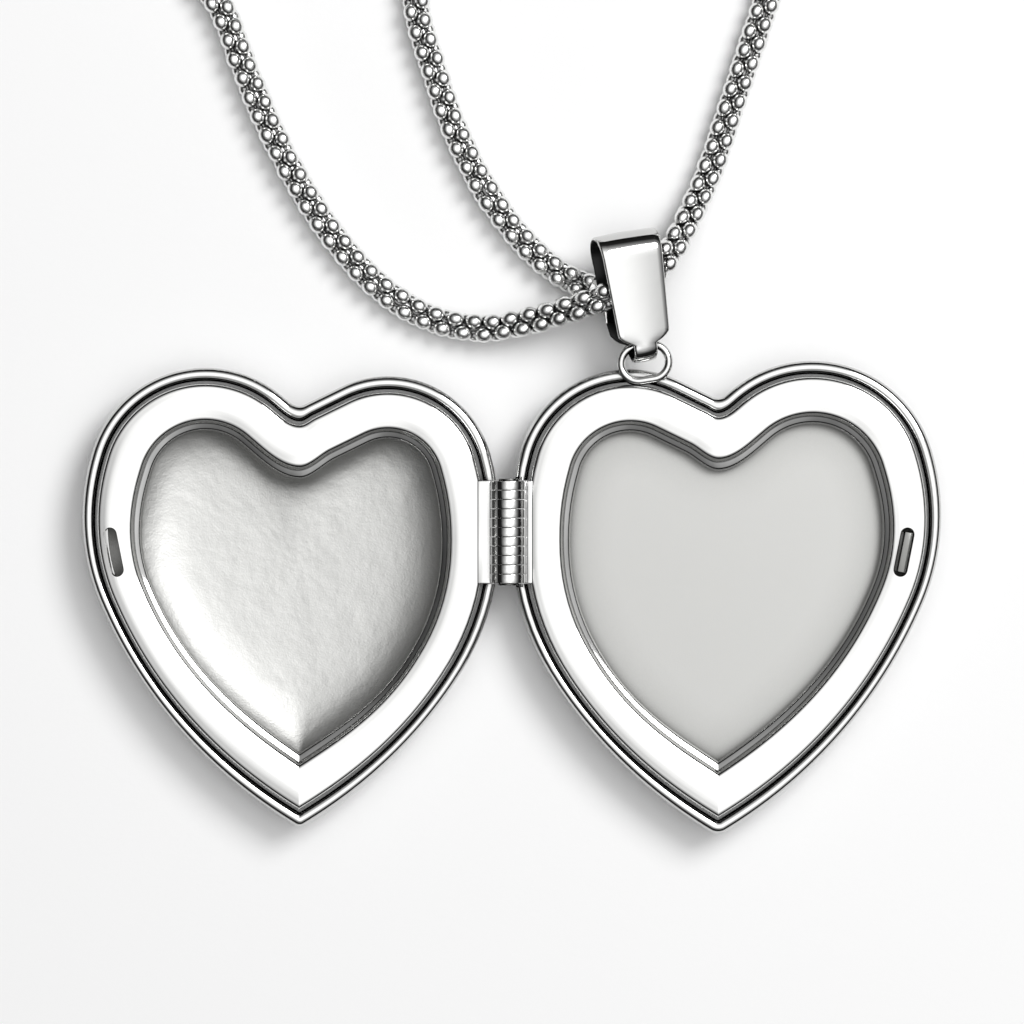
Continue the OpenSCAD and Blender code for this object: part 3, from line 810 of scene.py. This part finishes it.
# The bright top leans towards the lamp's side, and soft folds in the cloth vary it.
TENT_LEAN = math.radians(11)
axis = (math.sin(TENT_LEAN) * 0.9, math.sin(TENT_LEAN) * 0.3, math.cos(TENT_LEAN))
height = add(sky, "VectorMath", {"Vector": direction.outputs["Generated"]}, operation="DOT_PRODUCT")
height.inputs[1].default_value = axis
tent = add(sky, "ValToRGB", {"Fac": height.outputs["Value"]})
folds = add(sky, "TexNoise", {"Vector": direction.outputs["Generated"]}, Scale=3.2, Detail=1)
range_of = add(sky, "MapRange", {"Value": folds.outputs["Fac"]})
range_of.inputs["From Min"].default_value = 0.35
range_of.inputs["From Max"].default_value = 0.65
range_of.inputs["To Min"].default_value = 0.8
range_of.inputs["To Max"].default_value = 1.08
cloth = add(sky, "VectorMath", {"Vector": tent.outputs["Color"]}, operation="SCALE")
sky.links.new(range_of.outputs["Result"], cloth.inputs["Scale"])
STOPS = [(0.0, "#5A5A5A"), (0.08, "#0C0C0C"), (0.5, "#1C1C1C"), (0.68, "#6E6E6E"),
         (0.84, "#B0B0B0"), (0.95, "#F4F4F4")]
while len(tent.color_ramp.elements) < len(STOPS):
    tent.color_ramp.elements.new(0.5)
for stop, (place, code) in zip(tent.color_ramp.elements, STOPS):
    stop.position = place
    stop.color = linear(code)
background = sky.nodes["Background"]
sky.links.new(cloth.outputs["Vector"], background.inputs["Color"])
background.inputs["Strength"].default_value = 2.15

lamp_data = bpy.data.lights.new("soft_lamp", "AREA")
lamp_data.shape = "DISK"
lamp_data.size = 0.16
lamp_data.energy = 0.62
lamp = bpy.data.objects.new("soft_lamp", lamp_data)
bpy.context.scene.collection.objects.link(lamp)
lamp.location = look_at + Vector((0.16, 0.14, 0.26))
lamp.rotation_mode = "QUATERNION"
lamp.rotation_quaternion = (lamp.location - look_at).to_track_quat("Z", "Y")
bpy.context.scene.view_settings.view_transform = "Standard"
print("lamp", [round(v / MM) for v in lamp.location], "mm")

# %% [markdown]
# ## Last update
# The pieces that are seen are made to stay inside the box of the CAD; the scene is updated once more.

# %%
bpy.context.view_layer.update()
